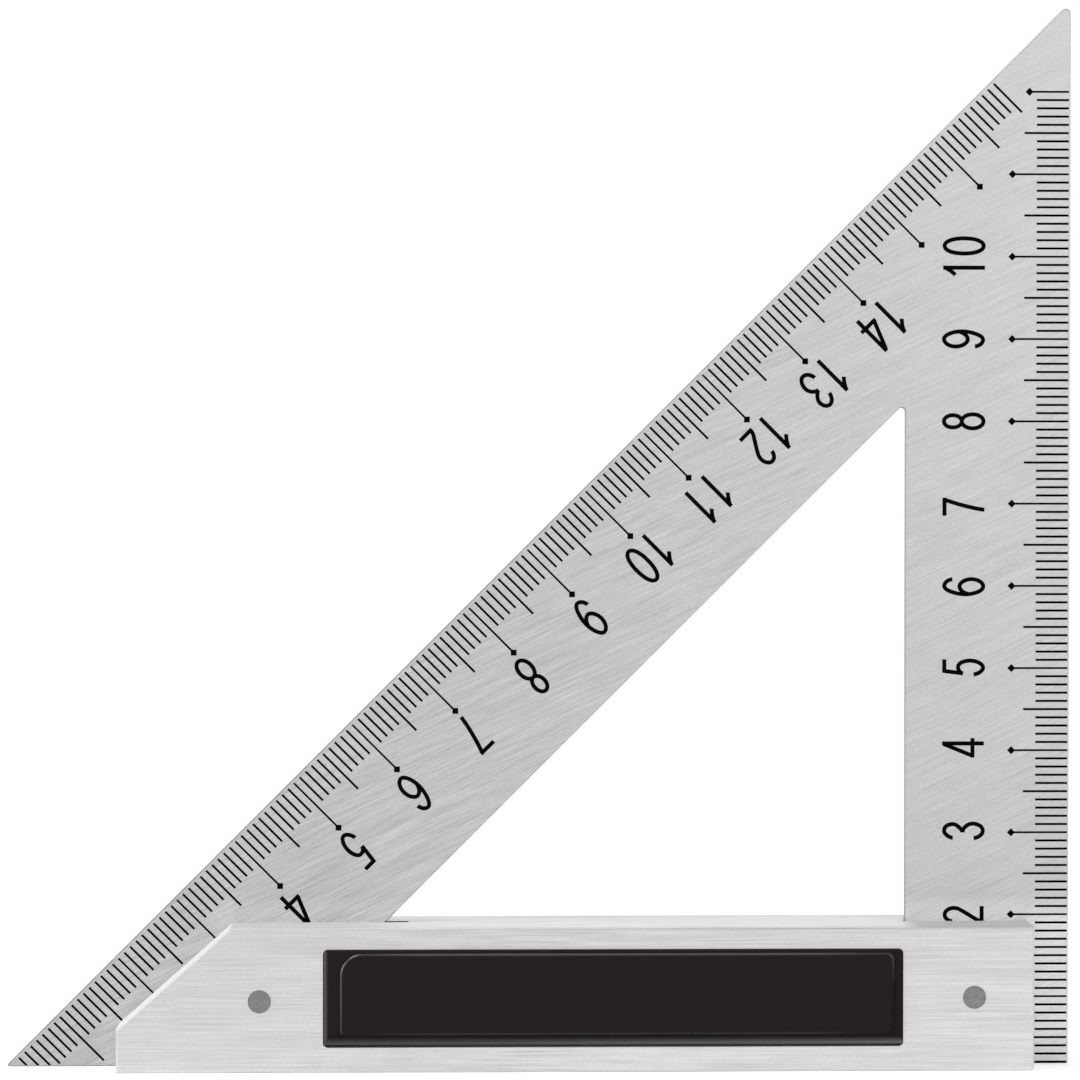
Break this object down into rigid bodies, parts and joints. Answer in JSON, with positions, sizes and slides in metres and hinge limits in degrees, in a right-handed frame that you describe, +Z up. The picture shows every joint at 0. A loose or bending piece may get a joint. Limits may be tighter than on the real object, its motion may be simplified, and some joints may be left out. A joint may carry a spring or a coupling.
{
  "type": "marking triangle",
  "caption": "Right-angled 45 degree marking triangle: brushed steel blade with millimetre scales, riveted into a slotted aluminium stock with a black inlay.",
  "frame": {"origin": "middle of the part's box in X and Y, on the plane of the stock's base, where the part stands", "axes": "+X along the stock towards the upright arm, +Y away from the inlaid front, +Z up along the blade's upright edge"},
  "size_m": [0.1288, 0.0158, 0.1283],
  "materials": {
    "blade_steel": "stainless steel, finely brushed on a slant, satin",
    "stock_aluminium": "brushed along its length, satin",
    "rivet_metal": "ground flush, dull grey",
    "inlay_plastic": "moulded black, semi-gloss",
    "tape_foam": "pale foam tape, hidden under the inlay",
    "scale_ink": "black filled etching"
  },
  "bodies": {
    "root": {"blade": "blade_steel", "stock": "stock_aluminium", "rivet_left": "rivet_metal", "rivet_right": "rivet_metal", "inlay": "inlay_plastic", "inlay_tape": "tape_foam"}
  },
  "joints": []
}
